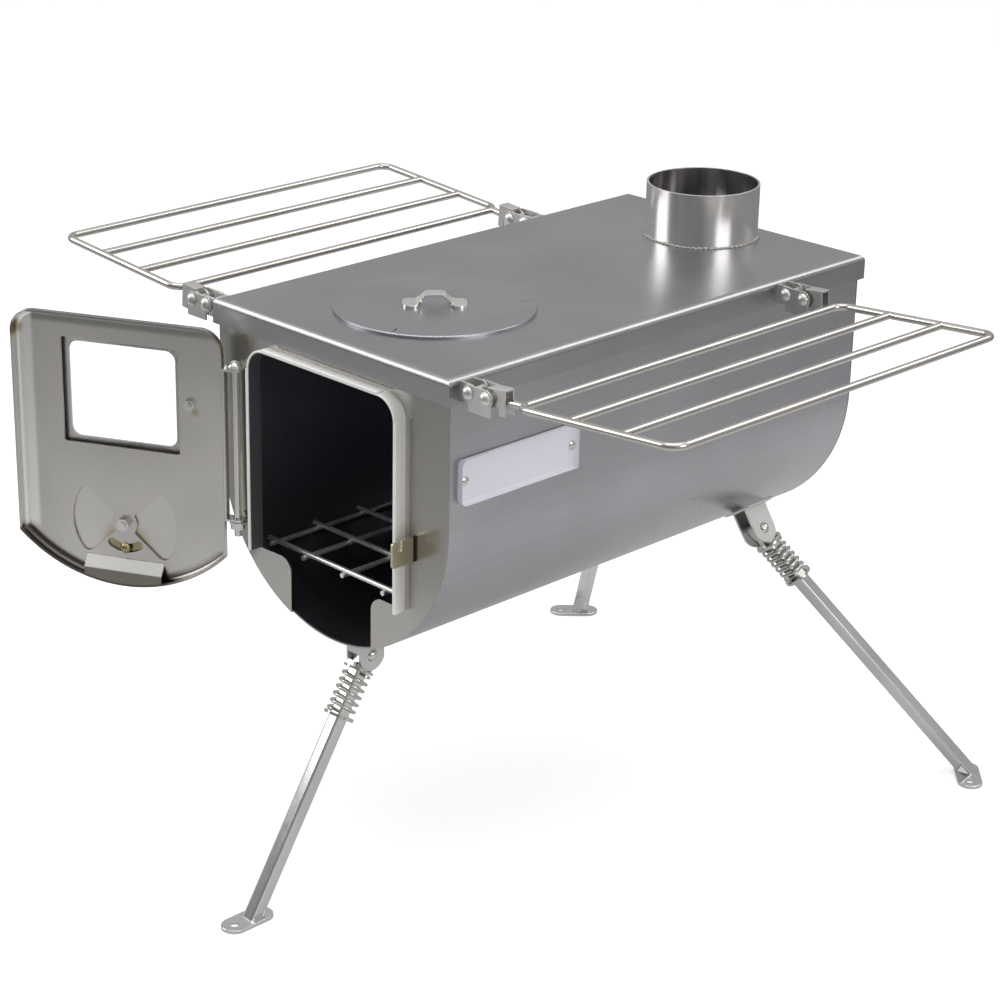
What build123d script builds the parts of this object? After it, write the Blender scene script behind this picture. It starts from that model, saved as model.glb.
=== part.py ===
from build123d import *
import math
import os

# Tent wood stove of thin stainless sheet, millimetres, +Z up, door at -Y, flue at +Y.
# Every height below is measured from the floor. Pieces are drawn about the lid's centre
# line and moved along Y at the end, so that the origin is under the middle of the stove.

SHEET = 1.5
FIT = 0.05          # radial play of a pin in its hole
GAP = 0.3           # air between bodies that move past each other

# Lid and body
TOP_Z = 390.0
LID_WIDTH = 223.0
LID_LENGTH = 400.0
LID_RIM = 17.0
LID_EDGE_R = 4.5
LID_INNER_EDGE_R = 1.5
BODY_R = 108.5
BODY_LENGTH = 394.0
AXIS_Z = TOP_Z - 100.5
FRONT_Y = -BODY_LENGTH / 2
BACK_Y = BODY_LENGTH / 2
BODY_TOP_Z = TOP_Z - SHEET

# Front opening and its lip
LIP_INNER_X = 69.0
LIP_SHEET = 1.6
LIP_THICK = 2.8
HEM_DEPTH = 5.0
LIP_TOP_Z = TOP_Z - 23.0
LIP_BOTTOM_Z = TOP_Z - 164.0
LIP_STAND = 9.5
LIP_INNER_R = 14.0
THROAT_X = 39.0
EAR_R = 10.0

# Flue collar and cooktop
COLLAR_Y = 155.0
COLLAR_R = 40.0
COLLAR_BORE_R = 38.5
COLLAR_HEIGHT = 38.0
COOK_Y = -106.0
COOK_R = 66.5
COOK_HOLE_R = 60.5
COOK_THICK = 2.0
HANDLE_TURN = 48.0
HANDLE_LENGTH = 42.0
HANDLE_RISE = 8.0
HANDLE_FOOT_WIDTH = 18.0
HANDLE_WAIST_WIDTH = 11.0

# Grate
GRATE_Z = TOP_Z - 166.0
GRATE_WIRE_R = 1.75
GRATE_HALF_WIDTH = 82.8
GRATE_FIRST_Y = -178.7
GRATE_PITCH = 40.3
GRATE_BARS = 10
GRATE_RAIL_X = (-78.0, -45.0, -6.0, 33.0, 72.0)

# Door, drawn shut and then swung open about its bolt
DOOR_HALF_WIDTH = 76.0
DOOR_TOP_Z = TOP_Z - 15.3
DOOR_ARC_R = 108.0
DOOR_ARC_Z = TOP_Z - 97.6
DOOR_CORNER_R = 16.0
DOOR_FACE_Y = FRONT_Y - 11.3
DOOR_BACK_Y = FRONT_Y - 3.5
DOOR_EDGE_R = 4.5
DOOR_OPEN = 152.0
HINGE_X = -84.0
HINGE_Y = FRONT_Y - 7.5
HINGE_TOP_Z = TOP_Z - 38.9
HINGE_BOTTOM_Z = TOP_Z - 149.0
HINGE_PIN_R = 2.5
HINGE_EAR_R = 5.5
WINDOW_Z = TOP_Z - 70.5
WINDOW_HOLE = (84.5, 74.0)
GLASS_SIZE = (93.0, 82.0)
GLASS_THICK = 3.0
FRAME_SIZE = (112.0, 90.0)
FRAME_SIGHT = (77.0, 67.0)
RETAINER_X = -50.5
DAMPER_Z = TOP_Z - 162.0
DAMPER_R = 42.0
LOBE_R = 38.5
LOBE_INNER_R = 9.0
LOBE_SPREAD = 84.0
SLOT_R = 18.0
SLOT_HALF_WIDTH = 3.2
SLOT_SPREAD = 66.0
LATCH_X = 65.0
LATCH_Z = TOP_Z - 113.0
LATCH_NOSE = 19.0
LATCH_TAIL = 34.0
LATCH_BEND = 210.0
LATCH_LIFT = 64.0
LATCH_Y = DOOR_FACE_Y - 0.7
LATCH_THICK = 2.4
KEEPER_X = 79.2
KEEPER_REACH = 19.3

# Racks
RACK_FRONT_Y = -186.0
RACK_BACK_Y = 110.0
RACK_OVERHANG = 5.5
RACK_INNER_X = 160.0
RACK_OUTER_X = 283.5
RACK_WIRE_R = 2.5
RACK_DROP = 1.5
RACK_TILT = 4.3
RACK_CORNER_R = 9.0
PIVOT_Z = TOP_Z - 7.0
INNER_PIVOT_X = 120.5
OUTER_PIVOT_X = 135.0
CLIP_END = 13.5
LINK_END = 9.5
RIVET_R = 2.5

# Legs
LEG_PIVOT_DEPTH = 18.0
LEG_SIDE = 10.0
LEG_WALL = 1.2
LEG_CORNER_R = 2.0
LEG_TOP_R = 6.6
CHEEK_IN = LEG_SIDE / 2 + GAP
CHEEK_HALF_WIDTH = 11.0
CHEEK_FLAT = 10.5
COLLAR_TOP = CHEEK_HALF_WIDTH + GAP
LOCK_R = 10.5
LOCK_THICK = 1.5
SPRING_R = 8.7
SPRING_WIRE_R = 1.15
SPRING_TURNS = 5.75
SPRING_LENGTH = 31.0
FOOT_THICK = 2.5
FOOT_HALF_WIDTH = 9.0
FOOT_REACH = 16.0
FOOT_HEEL = 5.5
FOOT_HOLE_R = 3.5

# name, angle round the body's underside, pivot Y, lean towards +Y, foot's heading, stowed lean
LEGS = (
    ("front", 0.0, -166.0, -32.0, -90.0, 90.0),
    ("rear_right", 34.5, 150.0, 25.4, -47.0, -87.0),
    ("rear_left", -34.5, 150.0, 25.4, -133.0, -87.0),
)

# Middle of the stove's whole length, door and feet included, from the lid's centre
CENTRE_Y = -11.488

made = {}


def keep(name, shape):
    """Moves a piece into the stove's own frame, writes it and remembers it."""
    moved = Pos(0, -CENTRE_Y, 0) * shape
    if len(moved.solids()) > 1:
        moved = Compound(list(moved.solids()))
    made[name] = moved
    export_step(moved, f"parts/{name}.step")


def gather(shapes):
    """Several separate solids as one piece."""
    return Compound([solid for shape in shapes for solid in shape.solids()])


def block(x0, x1, y0, y1, z0, z1):
    """A box between two corners."""
    middle = ((x0 + x1) / 2, (y0 + y1) / 2, (z0 + z1) / 2)
    return Pos(*middle) * Box(x1 - x0, y1 - y0, z1 - z0)


def rod_x(x0, x1, y, z, radius):
    """A round bar along X."""
    return Pos((x0 + x1) / 2, y, z) * Rot(0, 90, 0) * Cylinder(radius, x1 - x0)


def rod_y(y0, y1, x, z, radius):
    """A round bar along Y."""
    return Pos(x, (y0 + y1) / 2, z) * Rot(90, 0, 0) * Cylinder(radius, y1 - y0)


def rod_z(z0, z1, x, y, radius):
    """A round bar along Z."""
    return Pos(x, y, (z0 + z1) / 2) * Cylinder(radius, z1 - z0)


def upright(face, y0, y1):
    """A face drawn in X and Z, made a plate from y0 back to y1."""
    return Pos(0, y1, 0) * extrude(Plane.XZ * face, y1 - y0)


def dome(radius, height):
    """A domed head on the XY plane, round +Z."""
    ball_r = (radius**2 + height**2) / (2 * height)
    centre = height - ball_r
    part_way = (radius * 0.6, centre + math.sqrt(ball_r**2 - (radius * 0.6) ** 2))
    rim = [
        Line((0, 0), (radius, 0)),
        ThreePointArc((radius, 0), part_way, (0, height)),
        Line((0, height), (0, 0)),
    ]
    return revolve(Plane.XZ * make_face(Wire(rim)), Axis.Z, 360)


def dome_y(x, y, z, radius, height, side):
    """A domed rivet head on a face whose normal is side times +Y."""
    return Pos(x, y, z) * Rot(-90 * side, 0, 0) * dome(radius, height)


def hexagon_y(x, y0, y1, z, across, bore_r):
    """A nut with its axis along Y."""
    face = RegularPolygon(across / 2, 6, major_radius=False) - Circle(bore_r)
    return upright(Pos(x, z) * face, y0, y1)


def body_outline(radius, top_z, wall=0.0):
    """The body's U, straight sides and a half-round bottom, drawn in X and Z."""
    reach = radius - wall
    sides = Pos(0, (top_z + AXIS_Z) / 2) * Rectangle(2 * reach, top_z - AXIS_Z)
    below = Pos(0, AXIS_Z - reach / 2) * Rectangle(2 * reach, reach)
    return sides + (Pos(0, AXIS_Z) * Circle(reach) & below)


def arch_outline(half_width, top_z, corner_r, bottom_z):
    """A tall opening with rounded top corners."""
    height = top_z - bottom_z
    square = Pos(0, bottom_z + height / 2) * Rectangle(2 * half_width, height)
    tops = [v for v in square.vertices() if v.Y > bottom_z + height / 2]
    return fillet(tops, corner_r)


def lid():
    """Pressed top plate with a turned-down rim and soft edges."""
    def slab(inset, top, edge_r):
        shape = block(
            -LID_WIDTH / 2 + inset, LID_WIDTH / 2 - inset,
            -LID_LENGTH / 2 + inset, LID_LENGTH / 2 - inset,
            TOP_Z - LID_RIM - (1.0 if inset else 0.0), top,
        )
        return fillet(shape.faces().sort_by(Axis.Z)[-1].edges(), edge_r)

    outer = slab(0.0, TOP_Z, LID_EDGE_R)
    inner = slab(SHEET, TOP_Z - SHEET, LID_INNER_EDGE_R)
    flue = rod_z(TOP_Z - 5, TOP_Z + 5, 0, COLLAR_Y, COLLAR_BORE_R)
    cook = rod_z(TOP_Z - 5, TOP_Z + 5, 0, COOK_Y, COOK_HOLE_R)
    return outer - inner - flue - cook


def shell():
    """The U-bent side sheet, butted between the end plates and under the lid."""
    section = body_outline(BODY_R, BODY_TOP_Z) - body_outline(BODY_R, BODY_TOP_Z + 1, SHEET)
    return upright(section, FRONT_Y + SHEET, BACK_Y - SHEET)


def lip_outline(outside):
    """The opening's outline, a given distance outside the lip's inner face."""
    return arch_outline(LIP_INNER_X + outside, LIP_TOP_Z + outside, LIP_INNER_R + outside, LIP_BOTTOM_Z)


def throat_face():
    """The opening cut in the front plate: lip-wide above, narrow between two ears below."""
    wide = lip_outline(LIP_SHEET)
    bottom = AXIS_Z - BODY_R - 1
    narrow = Pos(0, (LIP_BOTTOM_Z + bottom) / 2) * Rectangle(2 * THROAT_X, LIP_BOTTOM_Z - bottom)
    face = wide + narrow
    ears = [v for v in face.vertices() if abs(abs(v.X) - THROAT_X) < 0.1 and abs(v.Y - LIP_BOTTOM_Z) < 0.1]
    return fillet(ears, EAR_R)


def front_plate():
    """Front end plate, open from under the lid right down to the body's bottom."""
    return upright(body_outline(BODY_R, BODY_TOP_Z) - throat_face(), FRONT_Y, FRONT_Y + SHEET)


def door_lip():
    """Strip round the sides and top of the opening, its straight runs hemmed outwards at the front."""
    front = FRONT_Y - LIP_STAND
    strip = upright(lip_outline(LIP_SHEET) - lip_outline(0.0), front, FRONT_Y + SHEET)
    hem = upright(lip_outline(LIP_THICK) - lip_outline(LIP_SHEET - 0.1), front, front + HEM_DEPTH)
    straight_x = LIP_INNER_X - LIP_INNER_R
    straight_z = LIP_TOP_Z - LIP_INNER_R
    for side in (-1, 1):
        reach = side * (straight_x + LIP_INNER_R + 10)
        x0, x1 = sorted((side * straight_x, reach))
        hem -= block(x0, x1, front - 1, FRONT_Y, straight_z, TOP_Z)
    lip = strip + hem
    inner_edges = [e for e in lip.edges() if abs(e.center().Y - front) < 0.01 and e.length > 2 * LIP_THICK]
    return fillet(inner_edges, 0.7)


def back_plate():
    """Plain rear end plate."""
    return upright(body_outline(BODY_R, BODY_TOP_Z), BACK_Y - SHEET, BACK_Y)


def flue_collar():
    """Short tube welded on the lid, where the flue pipe plugs in."""
    tube = rod_z(TOP_Z, TOP_Z + COLLAR_HEIGHT, 0, COLLAR_Y, COLLAR_R)
    return tube - rod_z(TOP_Z - 1, TOP_Z + COLLAR_HEIGHT + 1, 0, COLLAR_Y, COLLAR_BORE_R)


def cooktop_disc():
    """Loose round plate over the cooking hole, centred by three tabs bent down into it."""
    disc = rod_z(TOP_Z, TOP_Z + COOK_THICK, 0, COOK_Y, COOK_R)
    disc = fillet(disc.edges().sort_by(Axis.Z)[-1], 0.8)
    tab_r = COOK_HOLE_R - 1.4
    for turn in (56.0, 180.0, 292.0):
        place = Pos(0, COOK_Y, TOP_Z) * Rot(0, 0, turn)
        slit = place * Pos(tab_r + 0.8, 0, 0) * Box(6.6, 1.0, 3 * COOK_THICK)
        tab = place * Pos(tab_r - 3.0, 1.1, -2.0) * Box(6.0, 1.2, 4.4)
        disc = disc - slit + tab
    return disc


def cooktop_handle():
    """Pressed bridge handle: two flared feet and a narrow raised waist."""
    half = HANDLE_LENGTH / 2
    foot = 9.0
    ramp = 6.5
    base = TOP_Z + COOK_THICK
    top = base + HANDLE_RISE
    line = Polyline(
        (-half, base + SHEET / 2), (-half + foot, base + SHEET / 2), (-half + foot + ramp, top - SHEET / 2),
        (half - foot - ramp, top - SHEET / 2), (half - foot, base + SHEET / 2), (half, base + SHEET / 2),
    )
    bends = sorted(line.vertices(), key=lambda v: v.X)[1:-1]
    line = fillet(bends, 4.0)
    strip = upright(trace(line, SHEET), -HANDLE_FOOT_WIDTH, HANDLE_FOOT_WIDTH)
    foot_face = RectangleRounded(foot + 3.0, HANDLE_FOOT_WIDTH, 5.5)
    feet = [Pos(side * (half - (foot + 3.0) / 2), 0) * foot_face for side in (-1, 1)]
    plan = Rectangle(HANDLE_LENGTH - foot, HANDLE_WAIST_WIDTH) + feet
    waist = HANDLE_WAIST_WIDTH / 2 + 0.1
    inner = [v for v in plan.vertices() if abs(v.X) < half - foot - 1 and abs(v.Y) < waist]
    plan = fillet(inner, 2.0)
    cutter = Pos(0, 0, base - 1) * extrude(plan, HANDLE_RISE + 4)
    return Pos(0, COOK_Y, 0) * Rot(0, 0, HANDLE_TURN) * (strip & cutter)


def grate():
    """Welded wire fire grate: cross bars lying on four rails, seated on the curved walls."""
    rail_z = GRATE_Z - 2 * GRATE_WIRE_R + 0.5
    last_y = GRATE_FIRST_Y + GRATE_PITCH * (GRATE_BARS - 1)
    rails = [rod_y(GRATE_FIRST_Y - 3, last_y + 3, x, rail_z, GRATE_WIRE_R) for x in GRATE_RAIL_X]
    bars = [
        rod_x(-GRATE_HALF_WIDTH, GRATE_HALF_WIDTH, GRATE_FIRST_Y + GRATE_PITCH * i, GRATE_Z, GRATE_WIRE_R)
        for i in range(GRATE_BARS)
    ]
    return rails[0].fuse(*rails[1:], *bars)


def keeper():
    """Upright catch beside the opening, with a hooked notch for the latch."""
    tip = FRONT_Y - KEEPER_REACH
    top = TOP_Z - 110.5
    plate = block(KEEPER_X - 0.8, KEEPER_X + 0.8, tip, FRONT_Y, top - 17.0, top)
    plate = fillet([e for e in plate.edges().filter_by(Axis.X) if e.center().Y < tip + 0.1], 2.0)
    notch = block(KEEPER_X - 2, KEEPER_X + 2, LATCH_Y - LATCH_THICK - 0.8, LATCH_Y + 0.8, top - 6.8, top + 1)
    return plate - notch


def hinge_bracket_fixed():
    """Channel on the front plate whose two ears hold the door's bolt."""
    ear_face = Pos(HINGE_X, HINGE_Y) * Circle(HINGE_EAR_R)
    ear_face += Pos(HINGE_X, (HINGE_Y + FRONT_Y) / 2) * Rectangle(2 * HINGE_EAR_R, FRONT_Y - HINGE_Y)
    ear = extrude(ear_face, SHEET)
    left, right = HINGE_X - HINGE_EAR_R, HINGE_X + HINGE_EAR_R
    web = block(left, right, FRONT_Y - SHEET, FRONT_Y, HINGE_BOTTOM_Z, HINGE_TOP_Z)
    piece = web + Pos(0, 0, HINGE_TOP_Z - SHEET) * ear + Pos(0, 0, HINGE_BOTTOM_Z) * ear
    return piece - rod_z(HINGE_BOTTOM_Z - 1, HINGE_TOP_Z + 1, HINGE_X, HINGE_Y, HINGE_PIN_R)


def hinge_bolt():
    """Long domed bolt that the door turns on."""
    shank = rod_z(HINGE_BOTTOM_Z - 9, HINGE_TOP_Z, HINGE_X, HINGE_Y, HINGE_PIN_R)
    head_r, head_h = 5.2, 3.4
    return shank + Pos(HINGE_X, HINGE_Y, HINGE_TOP_Z) * dome(head_r, head_h)


def hinge_nut():
    """Hexagon nut under the lower ear."""
    face = RegularPolygon(4.2, 6, major_radius=False) - Circle(HINGE_PIN_R)
    return Pos(HINGE_X, HINGE_Y, HINGE_BOTTOM_Z - 4.0) * extrude(face, 4.0)


def door_outline(inset=0.0):
    """The door's outline in X and Z: rounded top corners and a round bottom edge."""
    reach = DOOR_HALF_WIDTH - inset
    tall = arch_outline(reach, DOOR_TOP_Z - inset, DOOR_CORNER_R - inset, DOOR_ARC_Z)
    lower = Pos(0, DOOR_ARC_Z - 60) * Rectangle(2 * reach, 120)
    return tall + (lower & (Pos(0, DOOR_ARC_Z) * Circle(DOOR_ARC_R - inset)))


def lobe(turn, half_spread, inner_r, outer_r, corner_r=2.0):
    """One air hole: a round-cornered sector about the damper's centre."""
    a0 = math.radians(turn - half_spread)
    a1 = math.radians(turn + half_spread)
    am = math.radians(turn)

    def at(radius, angle):
        return (radius * math.cos(angle), radius * math.sin(angle))

    edges = [
        Line(at(inner_r, a0), at(outer_r, a0)),
        ThreePointArc(at(outer_r, a0), at(outer_r, am), at(outer_r, a1)),
        Line(at(outer_r, a1), at(inner_r, a1)),
        ThreePointArc(at(inner_r, a1), at(inner_r, am), at(inner_r, a0)),
    ]
    face = make_face(Wire(edges))
    outer = [v for v in face.vertices() if math.hypot(v.X, v.Y) > (inner_r + outer_r) / 2]
    face = fillet(outer, corner_r)
    inner = [v for v in face.vertices() if math.hypot(v.X, v.Y) < inner_r + 0.1]
    return fillet(inner, 2.0)


def damper_slot():
    """Curved slot that the damper's stop screw runs in."""
    turns = [math.radians(-90 - SLOT_SPREAD / 2), math.radians(-90 + SLOT_SPREAD / 2)]
    first, last = [(SLOT_R * math.cos(a), SLOT_R * math.sin(a)) for a in turns]
    arc = ThreePointArc(first, (0, -SLOT_R), last)
    ends = [Pos(*point) * Circle(SLOT_HALF_WIDTH) for point in (first, last)]
    return trace(arc, 2 * SLOT_HALF_WIDTH) + ends


def door_panel():
    """Deep-drawn door pan with a turned rim, window hole, air holes and bolt holes."""
    solid = upright(door_outline(), DOOR_FACE_Y, DOOR_BACK_Y)
    solid = fillet(solid.faces().sort_by(Axis.Y)[0].edges(), DOOR_EDGE_R)
    hollow = upright(door_outline(SHEET), DOOR_FACE_Y + SHEET, DOOR_BACK_Y + 1)
    hollow = fillet(hollow.faces().sort_by(Axis.Y)[0].edges(), DOOR_EDGE_R - SHEET)
    holes = Pos(0, WINDOW_Z) * RectangleRounded(*WINDOW_HOLE, 1.5)
    holes += [Pos(0, DAMPER_Z) * lobe(turn, LOBE_SPREAD / 2, LOBE_INNER_R, LOBE_R, 5.0) for turn in (0, 180)]
    holes += Pos(0, DAMPER_Z) * damper_slot()
    holes += [Pos(0, DAMPER_Z) * Circle(2.5), Pos(RETAINER_X, WINDOW_Z) * Circle(2.0)]
    return solid - hollow - upright(holes, DOOR_FACE_Y - 1, DOOR_FACE_Y + 3)


def hinge_bracket_door():
    """Channel on the door's edge whose ears turn on the bolt, just inside the fixed ears."""
    top = HINGE_TOP_Z - SHEET - GAP
    bottom = HINGE_BOTTOM_Z + SHEET + GAP
    edge_x = -DOOR_HALF_WIDTH
    ear_face = Pos(HINGE_X, HINGE_Y) * Circle(HINGE_EAR_R - 0.5)
    neck = 2 * (HINGE_EAR_R - 0.5) - 1
    ear_face += Pos((HINGE_X + edge_x) / 2, HINGE_Y) * Rectangle(edge_x - HINGE_X, neck)
    ear_face -= Pos(HINGE_X, HINGE_Y) * Circle(HINGE_PIN_R + FIT)
    ear = extrude(ear_face, SHEET)
    web = block(edge_x - SHEET, edge_x, DOOR_FACE_Y + 2.0, DOOR_BACK_Y - 0.2, bottom, top)
    return web + Pos(0, 0, top - SHEET) * ear + Pos(0, 0, bottom) * ear


def window_glass():
    """Clear heat-proof pane."""
    return upright(Pos(0, WINDOW_Z) * Rectangle(*GLASS_SIZE), DOOR_FACE_Y - GLASS_THICK, DOOR_FACE_Y)


def window_frame():
    """Outer frame that clamps the pane to the door."""
    outer = Pos(0, WINDOW_Z) * RectangleRounded(*FRAME_SIZE, 5.0)
    pan = upright(outer, DOOR_FACE_Y - GLASS_THICK - SHEET, DOOR_FACE_Y)
    pan = fillet(pan.faces().sort_by(Axis.Y)[0].edges(), 1.2)
    pocket = upright(Pos(0, WINDOW_Z) * Rectangle(*GLASS_SIZE), DOOR_FACE_Y - GLASS_THICK, DOOR_FACE_Y + 1)
    sight = upright(Pos(0, WINDOW_Z) * RectangleRounded(*FRAME_SIGHT, 7.0), DOOR_FACE_Y - 8, DOOR_FACE_Y)
    return pan - pocket - sight - rod_y(DOOR_FACE_Y - 8, DOOR_FACE_Y, RETAINER_X, WINDOW_Z, 2.0)


def retainer_screw():
    """Domed screw through the window frame, on the hinge side."""
    head_y = DOOR_FACE_Y - GLASS_THICK - SHEET
    shank = rod_y(head_y, DOOR_FACE_Y + SHEET + 5.0, RETAINER_X, WINDOW_Z, 2.0)
    return shank + dome_y(RETAINER_X, head_y, WINDOW_Z, 4.0, 2.2, -1)


def retainer_nut():
    """Its nut on the inside of the door."""
    inner = DOOR_FACE_Y + SHEET
    return hexagon_y(RETAINER_X, inner, inner + 3.2, WINDOW_Z, 7.0, 2.0)


def air_deflector():
    """Folded cover inside the door's foot: a sloping top and a front face down to the pan's rim."""
    inner = DOOR_FACE_Y + SHEET
    top = DAMPER_Z - 26.2
    outer = DOOR_BACK_Y - 0.8
    profile = Polyline((inner, top), (outer, top - 7.5), (outer, top - 22.0))
    face = Plane.YZ * trace(fillet(profile.vertices()[1:2], 1.2), SHEET)
    cover = Pos(-28.5, 0, 0) * extrude(face, 57)
    seat = rod_y(FRONT_Y - 30, FRONT_Y, 0, DOOR_ARC_Z, DOOR_ARC_R - SHEET)
    return cover & block(-40, 40, inner, DOOR_BACK_Y, 0, TOP_Z) & seat


def damper_disc():
    """Turning air damper on the door's outside, its own holes a quarter turn away when shut."""
    front = DOOR_FACE_Y - GAP - 1.2
    face = Circle(DAMPER_R) - Circle(2.5 + FIT) - Pos(0, -SLOT_R) * Circle(2.0)
    face -= [lobe(turn, 40.0, SLOT_R + 6.0, LOBE_R, 2.5) for turn in (90, 270)]
    disc = upright(Pos(0, DAMPER_Z) * face, front, front + 1.2)
    tab = Pos(DAMPER_R - 1.0, front - 4.0, DAMPER_Z) * Box(1.2, 8.0, 12.0)
    return disc + tab


def damper_bolt():
    """Bolt at the damper's centre, its head outside."""
    front = DOOR_FACE_Y - GAP - 1.2 - GAP
    shank = rod_y(front, DOOR_FACE_Y + SHEET + 5.0, 0, DAMPER_Z, 2.5)
    return shank + dome_y(0, front, DAMPER_Z, 4.6, 2.6, -1)


def damper_nut():
    """Its nut inside the door."""
    inner = DOOR_FACE_Y + SHEET
    return hexagon_y(0, inner, inner + 4.0, DAMPER_Z, 8.4, 2.5)


def stop_screw():
    """Brass screw fixed in the damper, running in the door's curved slot."""
    z = DAMPER_Z - SLOT_R
    inner = DOOR_FACE_Y + SHEET + GAP
    shank = rod_y(DOOR_FACE_Y - GAP - 1.2, inner, 0, z, 2.0)
    return shank + dome_y(0, inner, z, 3.8, 2.4, 1)


def latch_lever():
    """Cranked latch lever, drawn lifted: a short nose, a hub and a longer tail with a finger tab."""
    nose = Rot(0, 0, LATCH_LIFT) * Pos(LATCH_NOSE / 2, 0) * Rectangle(LATCH_NOSE, 6.0)
    tail = Rot(0, 0, LATCH_LIFT + LATCH_BEND) * Pos(LATCH_TAIL / 2, 0) * Rectangle(LATCH_TAIL, 7.0)
    arm = Circle(6.5) + nose + tail - Circle(2.5 + FIT)
    plate = upright(Pos(LATCH_X, LATCH_Z) * arm, LATCH_Y - LATCH_THICK, LATCH_Y)
    finger_face = Pos(LATCH_TAIL - LATCH_THICK / 2, 0) * Rectangle(LATCH_THICK, 7.0)
    finger = Rot(0, 0, LATCH_LIFT + LATCH_BEND) * finger_face
    return plate + upright(Pos(LATCH_X, LATCH_Z) * finger, LATCH_Y - 15.0, LATCH_Y)


def latch_stud():
    """Shouldered stud welded on the door that the latch lever turns on."""
    head_y = LATCH_Y - LATCH_THICK - 0.1
    shank = rod_y(head_y, DOOR_FACE_Y, LATCH_X, LATCH_Z, 2.5)
    shoulder = rod_y(LATCH_Y + 0.1, DOOR_FACE_Y, LATCH_X, LATCH_Z, 5.0)
    return shank + shoulder + dome_y(LATCH_X, head_y, LATCH_Z, 4.4, 2.4, -1)


def swing_open(shape):
    """Turns a door piece from shut to the open angle about the bolt."""
    return Pos(HINGE_X, HINGE_Y, 0) * Rot(0, 0, -DOOR_OPEN) * Pos(-HINGE_X, -HINGE_Y, 0) * shape


def rack_bracket(y):
    """Fixed clevis on the lid's rim that carries a rack link."""
    x0 = LID_WIDTH / 2
    inside, outside = 4.6, 5.8
    cheek_face = Pos(INNER_PIVOT_X, PIVOT_Z) * Circle(5.5)
    cheek_face += Pos((x0 + INNER_PIVOT_X) / 2, PIVOT_Z - 1) * Rectangle(INNER_PIVOT_X - x0, 13.0)
    cheek_face -= Pos(INNER_PIVOT_X, PIVOT_Z) * Circle(RIVET_R)
    cheeks = [upright(cheek_face, y - outside, y - inside), upright(cheek_face, y + inside, y + outside)]
    base = block(x0, x0 + 1.2, y - outside, y + outside, PIVOT_Z - 7.5, PIVOT_Z + 5.5)
    return base + cheeks


def rack_link(y):
    """Double-pivot link: two long cheeks joined by a stop web underneath."""
    inside, thick = 6.1, 1.2
    span = OUTER_PIVOT_X - INNER_PIVOT_X
    face = Circle(5.5) + Pos(span, 0) * Circle(5.5) + Pos(span / 2, 0) * Rectangle(span, 11.0)
    skirt_x = (-span / 2 + LINK_END) / 2 + span / 2
    face += Pos(skirt_x + 1.0, -5.5) * Rectangle(span / 2 + LINK_END + 2.0, 11.0)
    face += Pos(span / 2, -6.0) * Rectangle(span, 6.4)
    face -= [Circle(RIVET_R + FIT), Pos(span, 0) * Circle(RIVET_R)]
    face = Pos(INNER_PIVOT_X, PIVOT_Z) * face
    cheeks = [upright(face, y - inside - thick, y - inside), upright(face, y + inside, y + inside + thick)]
    web = block(
        INNER_PIVOT_X + 5.0, OUTER_PIVOT_X - 3.0, y - inside - thick, y + inside + thick,
        PIVOT_Z - 9.2, PIVOT_Z - 8.0,
    )
    return web + cheeks


def rivet(x, y, z, half_span, radius, head_r, head_h):
    """Domed rivet along Y, headed at both ends."""
    shank = rod_y(y - half_span, y + half_span, x, z, radius)
    near = dome_y(x, y - half_span, z, head_r, head_h, -1)
    far = dome_y(x, y + half_span, z, head_r, head_h, 1)
    return shank + near + far


def tilt_rack(shape):
    """Leans a rack piece, drawn level, up and outwards about its outer pivots."""
    return Pos(OUTER_PIVOT_X, 0, PIVOT_Z) * Rot(0, -RACK_TILT, 0) * Pos(-OUTER_PIVOT_X, 0, -PIVOT_Z) * shape


def rack_clip(y):
    """Folded hook that turns on the outer rivet and holds the end of a rack arm."""
    inside, thick = 3.0, 1.2
    end = CLIP_END
    face = Circle(5.0) + Pos(end / 2, 0.9) * Rectangle(end, 11.8)
    face += Pos(end - 2.6, -6.0) * Rectangle(5.2, 7.0)
    face -= Circle(RIVET_R + FIT)
    face = Pos(OUTER_PIVOT_X, PIVOT_Z) * face
    cheeks = [upright(face, y - inside - thick, y - inside), upright(face, y + inside, y + inside + thick)]
    web = block(
        OUTER_PIVOT_X, OUTER_PIVOT_X + end, y - inside - thick, y + inside + thick,
        PIVOT_Z + 5.6, PIVOT_Z + 6.8,
    )
    clip = web + cheeks
    return clip - rod_x(OUTER_PIVOT_X + 5, OUTER_PIVOT_X + 40, y, PIVOT_Z - RACK_DROP, RACK_WIRE_R)


def rack_wires():
    """Welded wire shelf: a round-cornered frame, two wires between, and two hooked-in arms."""
    z = PIVOT_Z - RACK_DROP
    front = RACK_FRONT_Y - RACK_OVERHANG
    back = RACK_BACK_Y
    width = RACK_OUTER_X - RACK_INNER_X
    middle = ((RACK_INNER_X + RACK_OUTER_X) / 2, (front + back) / 2)
    loop = RectangleRounded(width, back - front, RACK_CORNER_R).wires()[0]
    frame_path = Pos(*middle, z) * loop
    start = Plane(origin=frame_path @ 0, z_dir=frame_path % 0)
    frame = sweep(start * Circle(RACK_WIRE_R), path=frame_path)
    step = width / 3
    longs = [rod_y(front, back, RACK_INNER_X + step * i, z, RACK_WIRE_R) for i in (1, 2)]
    ends = (RACK_FRONT_Y, RACK_BACK_Y)
    arms = [rod_x(OUTER_PIVOT_X + 6, RACK_INNER_X + 12, y, z, RACK_WIRE_R) for y in ends]
    return frame.fuse(*longs, *arms)


def leg_frame(round_angle, pivot_y):
    """Where a leg's pivot is: local X along the rivet, local -Z away from the body."""
    reach = BODY_R + LEG_PIVOT_DEPTH
    turn = math.radians(round_angle)
    return Pos(reach * math.sin(turn), pivot_y, AXIS_Z - reach * math.cos(turn)) * Rot(0, -round_angle, 0)


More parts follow.
